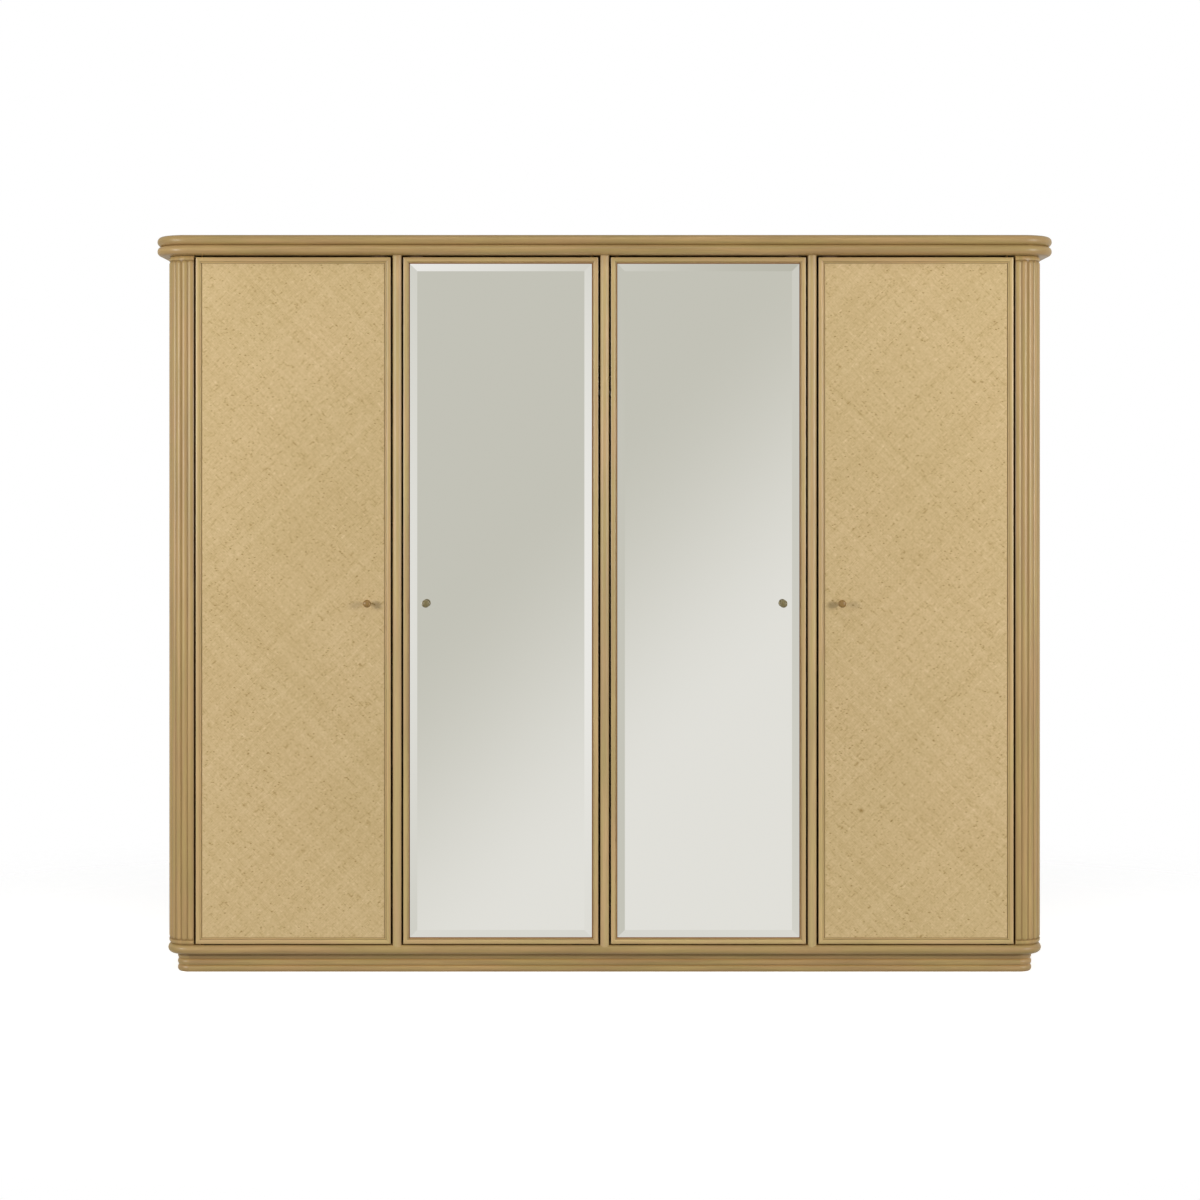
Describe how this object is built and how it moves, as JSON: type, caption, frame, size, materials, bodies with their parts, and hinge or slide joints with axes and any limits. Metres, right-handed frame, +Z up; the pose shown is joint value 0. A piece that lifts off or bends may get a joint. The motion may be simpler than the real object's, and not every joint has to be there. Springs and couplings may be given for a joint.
{
  "type": "armoire",
  "caption": "Wide free-standing armoire with woven-faced outer doors, bevelled mirror doors, reeded corner posts, bead cornice and plinth, fitted inside with shelves and hanging rails.",
  "frame": {"origin": "middle of the footprint on the floor, under the cornice's outline", "axes": "+X to the right across the doors, +Y to the wall behind, +Z up; the doors face -Y"},
  "size_m": [2.605, 0.65, 2.132],
  "materials": {
    "pale_wood": "satin lacquer over pale straight-grained ash or oak",
    "core_board": "veneered board, satin",
    "inner_board": "light veneered board, satin",
    "matting": "woven natural fibre on the diagonal, matt",
    "mirror": "bevelled silvered glass",
    "knob_wood": "turned brown wood, satin",
    "brass": "brushed, lacquered",
    "steel": "satin nickel",
    "catch_plastic": "brown moulded housing"
  },
  "bodies": {
    "case": {"plinth_front": "pale_wood", "plinth_back": "pale_wood", "plinth_corners": "pale_wood", "base_board": "pale_wood", "cornice_lower": "pale_wood", "cornice_upper": "pale_wood", "plinth_left": "pale_wood", "plinth_right": "pale_wood", "post_left": "pale_wood", "post_right": "pale_wood", "side_panel_left": "core_board", "side_panel_right": "core_board", "side_edging_left": "pale_wood", "side_edging_right": "pale_wood", "side_matting_left": "matting", "side_matting_right": "matting", "rear_stile_left": "pale_wood", "rear_stile_right": "pale_wood", "back_panel_left": "inner_board", "back_panel_right": "inner_board", "shelves_left": "inner_board", "shelves_right": "inner_board", "mullion_left": "pale_wood", "mullion_centre": "pale_wood", "mullion_right": "pale_wood", "partition_left": "inner_board", "partition_centre": "inner_board", "partition_right": "inner_board", "hat_shelves": "inner_board", "shelf_cleats": "inner_board", "hanging_rails": "steel", "rail_sockets": "steel", "catches": "catch_plastic", "frame_hinge_leaves": "brass", "hinge_pins": "steel", "hinge_washers": "brass"},
    "outer_left_door": {"outer_left_edging": "pale_wood", "outer_left_core": "core_board", "outer_left_matting": "matting", "outer_left_knob": "knob_wood", "outer_left_hinge_leaves": "brass", "outer_left_strike": "steel"},
    "inner_left_door": {"inner_left_edging": "pale_wood", "inner_left_core": "core_board", "inner_left_mirror": "mirror", "inner_left_knob": "knob_wood", "inner_left_hinge_leaves": "brass", "inner_left_strike": "steel"},
    "inner_right_door": {"inner_right_edging": "pale_wood", "inner_right_core": "core_board", "inner_right_mirror": "mirror", "inner_right_knob": "knob_wood", "inner_right_hinge_leaves": "brass", "inner_right_strike": "steel"},
    "outer_right_door": {"outer_right_edging": "pale_wood", "outer_right_core": "core_board", "outer_right_matting": "matting", "outer_right_knob": "knob_wood", "outer_right_hinge_leaves": "brass", "outer_right_strike": "steel"}
  },
  "joints": [
    {"name": "outer_left_door_hinge", "type": "hinge", "parent": "case", "child": "outer_left_door", "pos_m": [-1.1645, -0.278, 1], "axis": [0, 0, -1], "range_deg": [0, 110]},
    {"name": "inner_left_door_hinge", "type": "hinge", "parent": "case", "child": "inner_left_door", "pos_m": [-0.0355, -0.278, 1], "axis": [0, 0, 1], "range_deg": [0, 85]},
    {"name": "inner_right_door_hinge", "type": "hinge", "parent": "case", "child": "inner_right_door", "pos_m": [0.0355, -0.278, 1], "axis": [0, 0, -1], "range_deg": [0, 85]},
    {"name": "outer_right_door_hinge", "type": "hinge", "parent": "case", "child": "outer_right_door", "pos_m": [1.1645, -0.278, 1], "axis": [0, 0, 1], "range_deg": [0, 110]}
  ]
}
